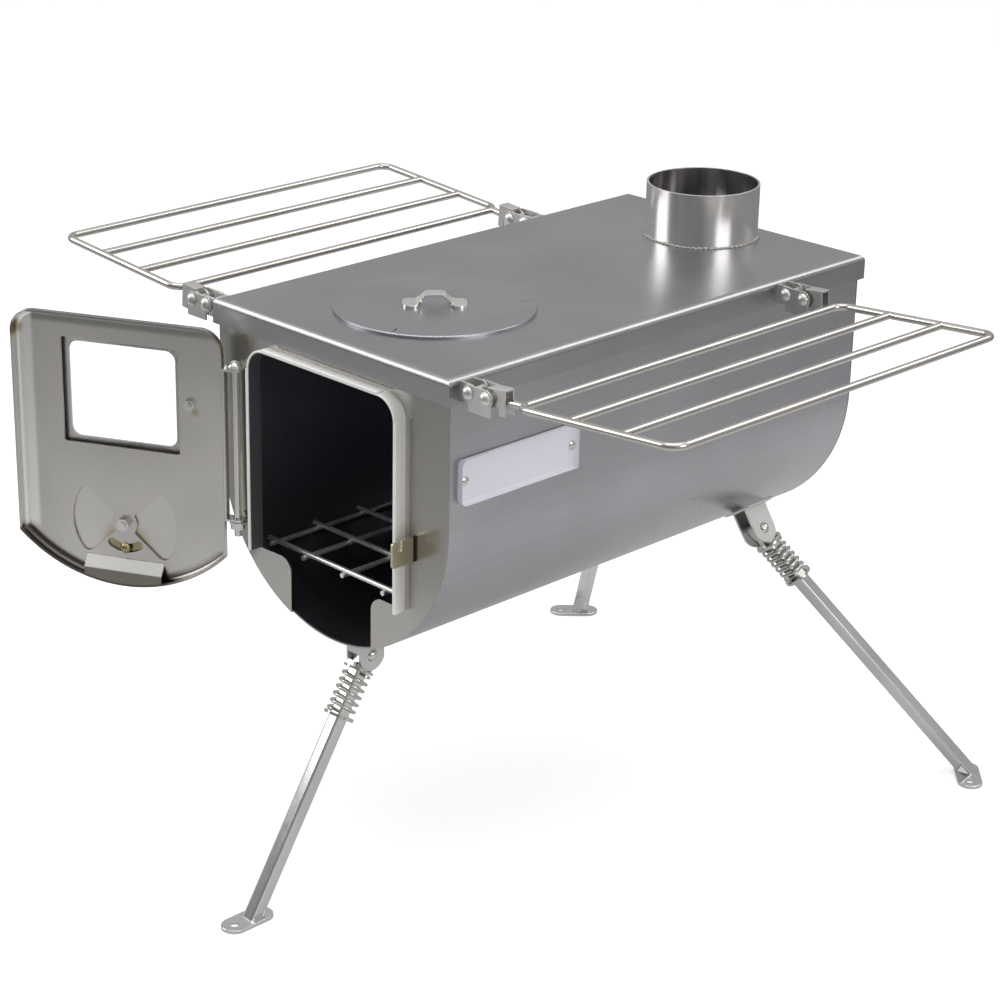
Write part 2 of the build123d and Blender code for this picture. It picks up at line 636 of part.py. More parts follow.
def leg_bracket(place, lean, stowed, side):
    """Channel welded under the body: a curved base, two round-nosed cheeks and a front web."""
    drum = rod_y(FRONT_Y, BACK_Y, 0, AXIS_Z, BODY_R)
    skin = rod_y(FRONT_Y, BACK_Y, 0, AXIS_Z, BODY_R + SHEET) - drum
    half = CHEEK_HALF_WIDTH
    profile = Circle(half) + Pos(0, half) * Rectangle(2 * half, 2 * half)
    for angle in (lean, stowed):
        turn = math.radians(angle)
        flat = Pos(math.sin(turn) * (CHEEK_FLAT + 5), -math.cos(turn) * (CHEEK_FLAT + 5)) * Rot(0, 0, angle)
        limit = Rectangle(12.0, 10.0) if angle == lean else Rectangle(9.0, 10.0)
        profile -= flat * limit
    profile -= Circle(RIVET_R)
    cheek = Plane.YZ * profile
    plate = extrude(cheek, SHEET)
    cheeks = Pos(CHEEK_IN, 0, 0) * plate + Pos(-CHEEK_IN - SHEET, 0, 0) * plate
    wide = CHEEK_IN + SHEET
    web_y = side * (half - SHEET / 2)
    web = Pos(0, web_y, 12.0) * Box(2 * wide, SHEET, 18.0)
    base = (place * Pos(0, 0, LEG_PIVOT_DEPTH) * Box(26, 2 * half + 4, 14)) & skin
    return (place * (cheeks + web) - drum) + base


def leg_tube(place, lean, length):
    """Round-cornered square tube leg, its top end rounded and drilled, cut level to stand on its foot."""
    turned = place * Rot(lean, 0, 0)
    section = RectangleRounded(LEG_SIDE, LEG_SIDE, LEG_CORNER_R)
    outer = Pos(0, 0, -length - 20) * extrude(section, length + 20)
    outer += Rot(0, 90, 0) * Cylinder(LEG_TOP_R, LEG_SIDE)
    outer = outer & (Pos(0, 0, -length / 2) * Box(LEG_SIDE, LEG_SIDE, length + 60))
    bore = LEG_SIDE - 2 * LEG_WALL
    bore_section = RectangleRounded(bore, bore, LEG_CORNER_R - LEG_WALL)
    inner = Pos(0, 0, -length - 22) * extrude(bore_section, length + 20)
    pin = Rot(0, 90, 0) * Cylinder(RIVET_R + FIT, 2 * LEG_SIDE)
    floor = block(-500, 500, -500, 500, -200, FOOT_THICK)
    return turned * (outer - inner - pin) - floor


def leg_foot(ankle, heading):
    """Flat round-ended foot with a peg hole at its outer end."""
    slot = SlotCenterToCenter(FOOT_REACH + FOOT_HEEL, 2 * FOOT_HALF_WIDTH)
    face = Pos((FOOT_REACH - FOOT_HEEL) / 2, 0) * slot - Pos(FOOT_REACH, 0) * Circle(FOOT_HOLE_R)
    plate = extrude(face, FOOT_THICK)
    plate = fillet(plate.faces().sort_by(Axis.Z)[-1].outer_wire().edges(), 0.6)
    return Pos(ankle.X, ankle.Y, 0) * Rot(0, 0, heading) * plate


def lock_collar():
    """Sliding lock washer with two upturned lugs, drawn about the leg's own axis."""
    hole = Rectangle(LEG_SIDE + 2 * GAP, LEG_SIDE + 2 * GAP)
    disc = Pos(0, 0, -COLLAR_TOP - LOCK_THICK) * extrude(Circle(LOCK_R) - hole, LOCK_THICK)
    lugs = [Pos(0, side * (LOCK_R - 1.4), -COLLAR_TOP + 1.5) * Box(6.0, 1.4, 4.0) for side in (-1, 1)]
    return disc + lugs


def biarc(p0, t0, p1, t1):
    """Two tangent arcs that join two points with given directions."""
    chord = p1 - p0
    both = t0 + t1
    bend = 2 * (1 - t0.dot(t1))
    root = math.sqrt(chord.dot(both) ** 2 + bend * chord.dot(chord))
    reach = (-chord.dot(both) + root) / bend
    join = (p0 + t0 * reach + p1 - t1 * reach) * 0.5
    first = TangentArc(p0, join, tangent=t0)
    second = TangentArc(join, p1, tangent=first % 1)
    return [first, second]


def spring(top_z):
    """Open coil round the leg, one unbroken tube, drawn about the leg's own axis."""
    rise = (SPRING_LENGTH - 2 * SPRING_WIRE_R) / SPRING_TURNS
    start_z = top_z - SPRING_WIRE_R

    def at(turns):
        angle = 2 * math.pi * turns
        return Vector(SPRING_R * math.cos(angle), SPRING_R * math.sin(angle), start_z - rise * turns)

    def heading(turns):
        angle = 2 * math.pi * turns
        return Vector(-SPRING_R * math.sin(angle), SPRING_R * math.cos(angle), -rise / (2 * math.pi)).normalized()

    edges = []
    steps = int(SPRING_TURNS * 4)
    for i in range(steps):
        a, b = i / 4, (i + 1) / 4
        edges += biarc(at(a), heading(a), at(b), heading(b))
    path = Wire(edges)
    coil = sweep(Plane(origin=at(0), z_dir=heading(0)) * Circle(SPRING_WIRE_R), path=path)
    points = [at(i / 48) for i in range(int(SPRING_TURNS * 48) + 1)]
    gap = min((p - q).length for i, p in enumerate(points) for q in points[i + 24:])
    print("spring: least gap between turns", round(gap - 2 * SPRING_WIRE_R, 2), "valid", coil.is_valid)
    return coil


def spring_seat(top_z):
    """Washer fixed round the leg under the spring."""
    face = Circle(LOCK_R) - Rectangle(LEG_SIDE, LEG_SIDE)
    return Pos(0, 0, top_z - 2.0) * extrude(face, 2.0)


def leg_rivet(place):
    """Domed rivet through a bracket's cheeks and the leg's top end."""
    half = CHEEK_IN + SHEET
    piece = rivet(0, 0, 0, half, RIVET_R, 4.2, 2.4)
    return place * Rot(0, 0, 90) * piece


def make_body():
    """Everything that stays with the firebox."""
    keep("lid", lid())
    keep("shell", shell())
    keep("front_plate", front_plate())
    keep("door_lip", door_lip())
    keep("back_plate", back_plate())
    keep("flue_collar", flue_collar())
    keep("keeper", keeper())
    keep("hinge_bracket_fixed", hinge_bracket_fixed())
    keep("hinge_bolt", hinge_bolt())
    keep("hinge_nut", hinge_nut())


def make_cooktop_and_grate():
    """The two pieces that lift out."""
    keep("cooktop_disc", cooktop_disc())
    keep("cooktop_handle", cooktop_handle())
    keep("grate", grate())


def make_door():
    """The door and what is on it, swung open."""
    for name, maker in (
        ("door_panel", door_panel), ("hinge_bracket_door", hinge_bracket_door),
        ("window_glass", window_glass), ("window_frame", window_frame),
        ("retainer_screw", retainer_screw), ("retainer_nut", retainer_nut),
        ("air_deflector", air_deflector), ("damper_disc", damper_disc),
        ("damper_bolt", damper_bolt), ("damper_nut", damper_nut), ("stop_screw", stop_screw),
        ("latch_lever", latch_lever), ("latch_stud", latch_stud),
    ):
        keep(name, swing_open(maker()))


def make_racks():
    """Both folding side racks, alike but for a half turn, with their brackets, links, clips and rivets."""
    ends = (("front", RACK_FRONT_Y), ("rear", RACK_BACK_Y))
    middle = (RACK_FRONT_Y - RACK_OVERHANG + RACK_BACK_Y) / 2
    fixed_rivets = []
    for side, hand in (("right", 1), ("left", -1)):
        def placed(shape):
            return shape if hand > 0 else Pos(0, middle, 0) * Rot(0, 0, 180) * Pos(0, -middle, 0) * shape

        for end, y in ends:
            own_y = y if hand > 0 else RACK_FRONT_Y + RACK_BACK_Y - y
            keep(f"rack_bracket_{end}_{side}", placed(rack_bracket(own_y)))
            fixed_rivets.append(placed(rivet(INNER_PIVOT_X, y, PIVOT_Z, 7.4, RIVET_R, 4.5, 3.0)))
        keep(f"rack_links_{side}", gather([placed(rack_link(y)) for _, y in ends]))
        outer = [placed(rivet(OUTER_PIVOT_X, y, PIVOT_Z, 7.3, RIVET_R, 4.5, 3.0)) for _, y in ends]
        keep(f"rack_link_rivets_{side}", gather(outer))
        clips = [placed(tilt_rack(rack_clip(y))) for _, y in ends]
        keep(f"rack_clips_{side}", gather(clips))
        keep(f"rack_wires_{side}", placed(tilt_rack(rack_wires())))
    keep("rack_bracket_rivets", gather(fixed_rivets))


def make_legs():
    """Three folding legs with their sliding locks and springs."""
    rivets = []
    spring_top = -COLLAR_TOP - LOCK_THICK - GAP
    seat_top = spring_top - SPRING_LENGTH - GAP
    coil = spring(spring_top)
    for name, round_angle, pivot_y, lean, heading, stowed in LEGS:
        place = leg_frame(round_angle, pivot_y)
        turned = place * Rot(lean, 0, 0)
        pivot = (place * Vertex(0, 0, 0)).center()
        along = (turned * Vertex(0, 0, -1)).center() - pivot
        length = (pivot.Z - FOOT_THICK) / -along.Z
        ankle = pivot + along * length
        side = -1 if lean < 0 else 1
        keep(f"leg_bracket_{name}", leg_bracket(place, lean, stowed, side))
        keep(f"leg_tube_{name}", leg_tube(place, lean, length))
        keep(f"leg_foot_{name}", leg_foot(ankle, heading))
        keep(f"leg_lock_{name}", turned * lock_collar())
        keep(f"leg_spring_{name}", turned * coil)
        keep(f"leg_spring_seat_{name}", turned * spring_seat(seat_top))
        rivets.append(leg_rivet(place))
        print(name, "pivot", pivot, "along", along, "length", round(length, 2), "ankle", ankle)
    keep("leg_rivets", gather(rivets))


def main():
    os.makedirs("parts", exist_ok=True)
    make_body()
    make_cooktop_and_grate()
    make_door()
    make_racks()
    make_legs()
    whole = gather(made.values()).bounding_box()
    print("nodes", len(made), "from", whole.min, "to", whole.max)


main()
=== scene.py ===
import logging
import math
from dataclasses import dataclass, field
from enum import Enum

import bmesh
import bpy
from mathutils import Matrix, Vector


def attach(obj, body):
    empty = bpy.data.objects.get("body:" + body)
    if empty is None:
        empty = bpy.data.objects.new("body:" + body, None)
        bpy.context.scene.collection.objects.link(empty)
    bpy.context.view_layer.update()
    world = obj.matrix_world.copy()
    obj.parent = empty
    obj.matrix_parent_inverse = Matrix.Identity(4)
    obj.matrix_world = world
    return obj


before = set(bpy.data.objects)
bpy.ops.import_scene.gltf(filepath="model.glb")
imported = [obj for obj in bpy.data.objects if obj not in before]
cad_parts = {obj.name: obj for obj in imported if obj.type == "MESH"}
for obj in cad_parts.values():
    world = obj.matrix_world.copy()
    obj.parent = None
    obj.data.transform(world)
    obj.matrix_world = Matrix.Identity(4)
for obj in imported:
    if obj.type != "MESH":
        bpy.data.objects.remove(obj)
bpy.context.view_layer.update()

log = logging.getLogger("tent_stove")

Vec = tuple[float, float, float]
Colour = tuple[float, float, float]
Socket = bpy.types.NodeSocket

# The stove's own measures, metres, in the shared frame.
SHIFT_Y = 0.011488
LID_TOP = 0.390
AXIS_Z = LID_TOP - 0.1005
BODY_R = 0.1085
FRONT_Y = -0.197 + SHIFT_Y
BACK_Y = 0.197 + SHIFT_Y
COLLAR_Y = 0.155 + SHIFT_Y
COLLAR_R = 0.040
HINGE_X = -0.084
HINGE_Y = -0.2045 + SHIFT_Y
DOOR_FACE_Y = -0.2083 + SHIFT_Y
DOOR_OPEN = math.radians(152.0)
DOOR_TOP = LID_TOP - 0.0153
DOOR_ARC_Z = LID_TOP - 0.0976
DEFLECTOR_FOLD = LID_TOP - 0.1957

# Colours laid over the steel: heat tints, painted shade and a painted highlight.
STRAW: Colour = (0.50, 0.43, 0.24)
BROWN: Colour = (0.10, 0.075, 0.06)
# Painted shade inside the firebox: near black low down, lighter higher up.
INSIDE_SHADE_LOW: Colour = (0.09, 0.09, 0.105)
INSIDE_SHADE_HIGH: Colour = (0.42, 0.41, 0.47)
# Painted shade on the lip faces that line the door opening.
OPENING_SHADE: Colour = (0.10, 0.10, 0.105)
# Painted shade and a painted highlight on the door pan's border.
PAN_TOP_SHADE: Colour = (0.27, 0.265, 0.25)
PAN_FAR_HIGHLIGHT: Colour = (1.0, 0.99, 0.95)
PAN_FOOT_SHADE: Colour = (0.095, 0.08, 0.068)
WHITE: Colour = (1.0, 1.0, 1.0)

# The colour sockets of Blender's Mix node: factor, first and second, and its result.
MIX_INPUTS = (0, 6, 7)
MIX_OUTPUT = 2

# Where the pan's painted highlight and painted shade lie, in metres: from the hinge, by height, and
# round its arc.
PAN_FAR_RISE = (0.1455, 0.1490)
PAN_FAR_FALL = (0.1590, 0.1570)
PAN_FAR_FOOT = (DOOR_ARC_Z - 0.078, DOOR_ARC_Z - 0.070)
PAN_TOP_RISE = (DOOR_TOP - 0.0105, DOOR_TOP - 0.0065)
PAN_ARC_RISE = (0.1000, 0.1035)
PAN_ARC_DOWN = (-0.0730, -0.0765)
PAN_ARC_SPREAD = (-0.050, -0.030, 0.35, 0.92)
# How strong the pan's painted highlight and painted shade are.
PAN_HIGHLIGHT_SHARE = 0.85
PAN_SHADE_SHARE = 0.75

# The opening that the lip lines, in metres: half its flat top, its corners' height, its edge
# as a distance from there, and how far behind the lip's front the painted shade on its inner faces
# starts.
OPENING_FLAT = 0.055
OPENING_CORNER_Z = LID_TOP - 0.037
OPENING_EDGE = (0.0148, 0.0143)
OPENING_SHADE_FRONT = (FRONT_Y - 0.0090, FRONT_Y - 0.0084)

# The depth into a sheet, metres, over which its inner face turns to the painted firebox shade.
SKIN = (0.0008, 0.0012)

# How close the noises lie, per metre, and where the painted firebox shade lightens upwards and how
# much rougher the firebox side is.
CLOUDS: Vec = (18.0, 18.0, 18.0)
BLOTCHES: Vec = (13.0, 13.0, 13.0)
WARM_PATCHES: Vec = (9.0, 9.0, 9.0)
INSIDE_SHADE_RISE = (0.20, 0.30)
INSIDE_ROUGHNESS = 0.16

# Half the width, in metres, over which a painted edge on thin sheet changes.
EDGE_SOFT = 0.0004


class Grain(Enum):
    """Which way a sheet's fine brushing runs, as the stretch of its noise."""

    ALONG_Y = (260.0, 7.0, 260.0)
    ALONG_Z = (260.0, 260.0, 7.0)
    NONE = (140.0, 140.0, 140.0)

    @property
    def direction(self) -> Vec:
        """The axis along which the noise is drawn out.

        Returns:
            A unit vector in object coordinates.
        """
        return tuple(1.0 if part < 10.0 else 0.0 for part in self.value)


class Wiring:
    """Short names for adding and joining shader nodes in one tree."""

    def __init__(self, tree: bpy.types.NodeTree) -> None:
        """Remembers the tree.

        Args:
            tree: the material's or world's node tree.
        """
        self.tree = tree

    def add(self, kind: str, **settings: object) -> bpy.types.Node:
        """Adds a node.

        Args:
            kind: the node's Blender type name.
            settings: its properties by name.

        Returns:
            The new node.
        """
        node = self.tree.nodes.new(kind)
        for name, value in settings.items():
            setattr(node, name, value)
        return node

    def join(self, out: Socket, into: Socket) -> None:
        """Joins an output to an input.

        Args:
            out: the output.
            into: the input.
        """
        self.tree.links.new(out, into)

    def split(self, place: Socket) -> tuple[Socket, Socket, Socket]:
        """Parts a vector.

        Args:
            place: the vector's socket.

        Returns:
            Its X, Y and Z.
        """
        node = self.add("ShaderNodeSeparateXYZ")
        self.join(place, node.inputs[0])
        return tuple(node.outputs)

    def math(self, operation: str, *values: object) -> Socket:
        """Adds a math node fed by numbers or sockets.

        Args:
            operation: its operation.
            values: up to three numbers or output sockets.

        Returns:
            Its output.
        """
        node = self.add("ShaderNodeMath", operation=operation)
        for socket, value in zip(node.inputs, values):
            if isinstance(value, (int, float)):
                socket.default_value = value
            else:
                self.join(value, socket)
        return node.outputs[0]

    def times(self, first: object, *others: object) -> Socket:
        """Multiplies numbers or sockets.

        Args:
            first: the first of them.
            others: the rest.

        Returns:
            The product.
        """
        for other in others:
            first = self.math("MULTIPLY", first, other)
        return first

    def reach(self, across: Socket, along: Socket) -> Socket:
        """The length of a flat vector.

        Args:
            across: its one part.
            along: its other part.

        Returns:
            The root of the sum of their squares.
        """
        squares = self.math("ADD", self.times(across, across), self.times(along, along))
        return self.math("SQRT", squares)

    def ramp(
        self, value: Socket, low: float, high: float, out_low: float = 0.0, out_high: float = 1.0,
    ) -> Socket:
        """Maps a value smoothly from one range to another.

        Args:
            value: the socket to map.
            low: where the ramp starts.
            high: where it ends.
            out_low: the result at low.
            out_high: the result at high.

        Returns:
            The mapped value.
        """
        node = self.add("ShaderNodeMapRange", interpolation_type="SMOOTHSTEP")
        self.join(value, node.inputs["Value"])
        limits = {"From Min": low, "From Max": high, "To Min": out_low, "To Max": out_high}
        for name, number in limits.items():
            node.inputs[name].default_value = number
        return node.outputs["Result"]

    def mix(self, factor: object, first: object, second: object) -> Socket:
        """Mixes two colours.

        Args:
            factor: a number or a socket.
            first: a colour or a socket.
            second: a colour or a socket.

        Returns:
            The mixed colour.
        """
        node = self.add("ShaderNodeMix", data_type="RGBA")
        sockets = [node.inputs[index] for index in MIX_INPUTS]
        for socket, value in zip(sockets, (factor, first, second)):
            if isinstance(value, (int, float)):
                socket.default_value = value
            elif isinstance(value, tuple):
                socket.default_value = (*value, 1.0)
            else:
                self.join(value, socket)
        return node.outputs[MIX_OUTPUT]

    def near(self, place: Socket, spot: Vec, reach: float, core: float = 0.0) -> Socket:
        """One at a spot, falling smoothly to nothing at reach.

        Args:
            place: object coordinates.
            spot: the spot in metres.
            reach: where it ends.
            core: where it starts to fall.

        Returns:
            The falling value.
        """
        gap = self.add("ShaderNodeVectorMath", operation="DISTANCE")
        self.join(place, gap.inputs[0])
        gap.inputs[1].default_value = spot
        return self.ramp(gap.outputs["Value"], core, reach, 1.0, 0.0)


@dataclass(frozen=True)
class HeatSpot:
    """A patch of heat tint left by welding, in the shared frame."""

    spot: Vec
    reach: float
    straw: float = 0.6
    brown: float = 0.0


@dataclass(frozen=True)
class PaintedShade:
    """A painted shade: a darker part of a piece, on one side of a level along one axis.

    It may fade in over a rise in height.
    """

    axis: int
    level: float
    above: bool
    colour: Colour
    soft: float = EDGE_SOFT
    rise: tuple[float, float] | None = None

    def lay(self, wiring: Wiring, place: Socket, colour: object) -> Socket:
        """Lays the painted shade over a colour.

        Args:
            wiring: the tree.
            place: object coordinates.
            colour: the colour so far.

        Returns:
            The colour with the painted shade in it.
        """
        parts = wiring.split(place)
        side = self.soft if self.above else -self.soft
        dark = wiring.ramp(parts[self.axis], self.level - side, self.level + side)
        if self.rise is not None:
            dark = wiring.times(dark, wiring.ramp(parts[2], *self.rise))
        return wiring.mix(dark, colour, self.colour)


@dataclass(frozen=True)
class Steel:
    """A stainless finish with fine brushing and, where it was welded, heat tints."""

    name: str
    colour: Colour
    roughness: float
    grain: Grain = Grain.NONE
    grain_depth: float = 0.05
    edge_radius: float = 0.0004
    warm: Colour = (0.62, 0.56, 0.47)
    warmth: float = 0.0
    spots: tuple[HeatSpot, ...] = ()
    # Painted shade on the firebox side of the sheets.
    inside: bool = False
    mottle: float = 0.06
    variation: float = 0.05
    stretch: float = 0.0
    # Painted highlight and painted shade on the door pan's border.
    pan_painted_light: bool = False
    # Painted shade on the faces that line the door opening.
    opening_shade: bool = False
    metallic: float = 1.0
    # Painted shade on one side of a level.
    shade: PaintedShade | None = None

    def build(self) -> bpy.types.Material:
        """Makes the material.

        Returns:
            The new material.
        """
        material = bpy.data.materials.new(self.name)
        material.use_nodes = True
        wiring = Wiring(material.node_tree)
        shader = material.node_tree.nodes["Principled BSDF"]
        shader.inputs["Metallic"].default_value = self.metallic
        place = wiring.add("ShaderNodeTexCoord").outputs["Object"]

        streaks = self._noise(wiring, place, self.grain.value, 3.0)
        rough = self._roughness(wiring, place, streaks)
        colour = self._laid_over(wiring, place, self._bare_colour(wiring, place, streaks))
        # Painted shade on the firebox side, darkest towards the bottom, and a little rougher there.
        if self.inside:
            mask = self._inside(wiring, place)
            inside_shade_rise = wiring.ramp(wiring.split(place)[2], *INSIDE_SHADE_RISE)
            colour = wiring.mix(mask, colour, wiring.mix(inside_shade_rise, INSIDE_SHADE_LOW, INSIDE_SHADE_HIGH))
            rough = wiring.math("MULTIPLY_ADD", mask, INSIDE_ROUGHNESS, rough)
        wiring.join(colour, shader.inputs["Base Color"])
        wiring.join(rough, shader.inputs["Roughness"])
        self._brush(wiring, shader)
        self._relief(wiring, shader, streaks)
        return material

    def _roughness(self, wiring: Wiring, place: Socket, streaks: Socket) -> Socket:
        """Roughness that varies along the brushing and in soft clouds.

        Args:
            wiring: the tree.
            place: object coordinates.
            streaks: the brushing's noise.

        Returns:
            The roughness.
        """
        clouds = self._noise(wiring, place, CLOUDS, 2.0)
        least = self.roughness - self.grain_depth
        rough = wiring.math("MULTIPLY_ADD", streaks, self.grain_depth * 2, least)
        return wiring.math("MULTIPLY_ADD", clouds, self.mottle, rough)

    def _bare_colour(self, wiring: Wiring, place: Socket, streaks: Socket) -> Socket:
        """The clean sheet's colour, a little uneven, with warm patches.

        Args:
            wiring: the tree.
            place: object coordinates.
            streaks: the brushing's noise.

        Returns:
            The colour.
        """
        darker = tuple(part * (1.0 - self.variation) for part in self.colour)
        lighter = tuple(min(1.0, part * (1.0 + self.variation)) for part in self.colour)
        blotches = self._noise(wiring, place, BLOTCHES, 1.0)
        fine = 0.45 if self.grain is not Grain.NONE else 0.12
        shade = wiring.math("MULTIPLY_ADD", wiring.math("SUBTRACT", streaks, 0.5), fine, blotches)
        colour = wiring.mix(wiring.ramp(shade, 0.30, 0.70), darker, lighter)
        if self.warmth > 0:
            patch = self._noise(wiring, place, WARM_PATCHES, 1.0)
            amount = wiring.ramp(patch, 0.42, 0.68, 0.0, self.warmth)
            colour = wiring.mix(amount, colour, self.warm)
        return colour

    def _laid_over(self, wiring: Wiring, place: Socket, colour: Socket) -> Socket:
        """Lays the pan's painted highlight and shade, the painted shade, the opening's painted
        shade and the heat tints over the colour.

        Args:
            wiring: the tree.
            place: object coordinates.
            colour: the clean sheet's colour.

        Returns:
            The colour with all of them in it.
        """
        # Painted highlight and painted shade on the pan's border.
        if self.pan_painted_light:
            colour = self._paint_pan_light(wiring, place, colour)
        # Painted shade on one side of a level.
        if self.shade is not None:
            colour = self.shade.lay(wiring, place, colour)
        # Painted shade on the faces lining the opening.
        if self.opening_shade:
            colour = wiring.mix(self._opening_shade_mask(wiring, place), colour, OPENING_SHADE)
        for heat in self.spots:
            colour = self._tinted(wiring, place, colour, heat)
        return colour

    def _brush(self, wiring: Wiring, shader: bpy.types.Node) -> None:
        """Stretches the reflections across the brushing.

        Args:
            wiring: the tree.
            shader: the steel's shader.
        """
        if self.grain is Grain.NONE or self.stretch <= 0:
            return
        shader.inputs["Anisotropic"].default_value = self.stretch
        along = wiring.add(
            "ShaderNodeVectorTransform",
            vector_type="VECTOR", convert_from="OBJECT", convert_to="WORLD",
        )
        along.inputs[0].default_value = self.grain.direction
        wiring.join(along.outputs[0], shader.inputs["Tangent"])

    def _relief(self, wiring: Wiring, shader: bpy.types.Node, streaks: Socket) -> None:
        """Softens the edges and lifts the brushing a little.

        Args:
            wiring: the tree.
            shader: the steel's shader.
            streaks: the brushing's noise.
        """
        bevel = wiring.add("ShaderNodeBevel", samples=4)
        bevel.inputs["Radius"].default_value = self.edge_radius
        bump = wiring.add("ShaderNodeBump")
        bump.inputs["Strength"].default_value = 0.10
        bump.inputs["Distance"].default_value = 0.00008
        wiring.join(streaks, bump.inputs["Height"])
        wiring.join(bevel.outputs["Normal"], bump.inputs["Normal"])
        wiring.join(bump.outputs["Normal"], shader.inputs["Normal"])

    @staticmethod
    def _noise(wiring: Wiring, place: Socket, stretch: Vec, detail: float) -> Socket:
        """Noise read from stretched object coordinates.

        Args:
            wiring: the tree.
            place: object coordinates.
            stretch: the scale along each axis.
            detail: how many octaves.

        Returns:
            Its value, about 0 to 1.
        """
        scaled = wiring.add("ShaderNodeVectorMath", operation="MULTIPLY")
        wiring.join(place, scaled.inputs[0])
        scaled.inputs[1].default_value = stretch
        noise = wiring.add("ShaderNodeTexNoise")
        wiring.join(scaled.outputs["Vector"], noise.inputs["Vector"])
        noise.inputs["Scale"].default_value = 1.0
        noise.inputs["Detail"].default_value = detail
        return noise.outputs[0]

    @staticmethod
    def _tinted(wiring: Wiring, place: Socket, colour: object, heat: HeatSpot) -> object:
        """Lays a straw tint round a weld, brown in its middle where it was hotter.

        Args:
            wiring: the tree.
            place: object coordinates.
            colour: the colour so far.
            heat: where the weld was.

        Returns:
            The colour with the tint in it.
        """
        fall = wiring.near(place, heat.spot, heat.reach)
        straw = wiring.ramp(fall, 0.05, 0.50, 0.0, heat.straw)
        colour = wiring.mix(straw, colour, STRAW)
        if heat.brown <= 0:
            return colour
        brown = wiring.ramp(fall, 0.30, 0.80, 0.0, heat.brown)
        return wiring.mix(brown, colour, BROWN)

    @staticmethod
    def _paint_pan_light(wiring: Wiring, place: Socket, colour: object) -> object:
        """Paints light on the drawn border of the door's pan: a painted highlight at the far side,
        painted shade above and below.

        Args:
            wiring: the tree.
            place: object coordinates.
            colour: the colour so far.

        Returns:
            The colour with the border in it.
        """
        from_hinge = wiring.add("ShaderNodeVectorMath", operation="SUBTRACT")
        wiring.join(place, from_hinge.inputs[0])
        from_hinge.inputs[1].default_value = (HINGE_X, HINGE_Y, 0.0)
        along = wiring.add("ShaderNodeVectorMath", operation="DOT_PRODUCT")
        wiring.join(from_hinge.outputs["Vector"], along.inputs[0])
        along.inputs[1].default_value = (math.cos(DOOR_OPEN), -math.sin(DOOR_OPEN), 0.0)
        reach = along.outputs["Value"]
        height = wiring.split(place)[2]

        # Painted highlight at the far side.
        far_highlight = wiring.times(wiring.ramp(reach, *PAN_FAR_RISE), wiring.ramp(reach, *PAN_FAR_FALL))
        far_highlight = wiring.times(far_highlight, wiring.ramp(height, *PAN_FAR_FOOT), PAN_HIGHLIGHT_SHARE)
        # Painted shade along the top.
        top = wiring.times(wiring.ramp(height, *PAN_TOP_RISE), PAN_SHADE_SHARE)
        colour = wiring.mix(top, colour, PAN_TOP_SHADE)
        colour = wiring.mix(far_highlight, colour, PAN_FAR_HIGHLIGHT)

        # Painted shade round the foot of the arc.
        aside = wiring.math("SUBTRACT", reach, -HINGE_X)
        down = wiring.math("SUBTRACT", height, DOOR_ARC_Z)
        radius = wiring.reach(aside, down)
        foot_shade = wiring.times(wiring.ramp(radius, *PAN_ARC_RISE), wiring.ramp(down, *PAN_ARC_DOWN))
        foot_shade = wiring.times(foot_shade, wiring.ramp(aside, *PAN_ARC_SPREAD))
        return wiring.mix(foot_shade, colour, PAN_FOOT_SHADE)

    @staticmethod
    def _opening_shade_mask(wiring: Wiring, place: Socket) -> Socket:
        """The mask of the painted shade: one on the faces that line the door opening, nothing at
        its front edge or outside.

        Args:
            wiring: the tree.
            place: object coordinates.

        Returns:
            The mask.
        """
        x, y, z = wiring.split(place)
        aside = wiring.math("SUBTRACT", wiring.math("ABSOLUTE", x), OPENING_FLAT)
        aside = wiring.math("MAXIMUM", aside, 0.0)
        upward = wiring.math("MAXIMUM", wiring.math("SUBTRACT", z, OPENING_CORNER_Z), 0.0)
        within = wiring.ramp(wiring.reach(aside, upward), *OPENING_EDGE)
        return wiring.times(wiring.ramp(y, *OPENING_SHADE_FRONT), within)

    @staticmethod
    def _inside(wiring: Wiring, place: Socket) -> Socket:
        """One on the firebox side of the body's sheets, nothing outside.

        Args:
            wiring: the tree.
            place: object coordinates.

        Returns:
            The mask.
        """
        x, y, z = wiring.split(place)
        near, deep = SKIN
        below = wiring.math("MINIMUM", wiring.math("SUBTRACT", z, AXIS_Z), 0.0)
        radial = wiring.ramp(wiring.reach(x, below), BODY_R - deep, BODY_R - near, 1.0, 0.0)
        front = wiring.ramp(y, FRONT_Y + near, FRONT_Y + deep)
        back = wiring.ramp(y, BACK_Y - deep, BACK_Y - near, 1.0, 0.0)
        top = wiring.ramp(z, LID_TOP - deep, LID_TOP - near, 1.0, 0.0)
        return wiring.times(radial, front, back, top)


@dataclass(frozen=True)
class Plain:
    """A finish of one colour."""

    name: str
    colour: Colour
    roughness: float
    metallic: float = 0.0
    transmission: float = 0.0
    alpha: float = 1.0

    def build(self) -> bpy.types.Material:
        """Makes the material.

        Returns:
            The new material.
        """
        material = bpy.data.materials.new(self.name)
        material.use_nodes = True
        shader = material.node_tree.nodes["Principled BSDF"]
        shader.inputs["Base Color"].default_value = (*self.colour, 1.0)
        shader.inputs["Roughness"].default_value = self.roughness
        shader.inputs["Metallic"].default_value = self.metallic
        shader.inputs["Transmission Weight"].default_value = self.transmission
        shader.inputs["Alpha"].default_value = self.alpha
        return material


def door_spot(x: float, y: float, z: float) -> Vec:
    """Where a point of the shut door is with the door as photographed.

    Args:
        x: across the shut door, metres from the stove's middle.
        y: behind the door's outer face, metres.
        z: below the lid's top, metres.

    Returns:
        The point in the shared frame.
    """
    dx, dy = x - HINGE_X, DOOR_FACE_Y + y - HINGE_Y
    turn = -DOOR_OPEN
    return (
        HINGE_X + dx * math.cos(turn) - dy * math.sin(turn),
        HINGE_Y + dx * math.sin(turn) + dy * math.cos(turn),
        LID_TOP + z,
    )


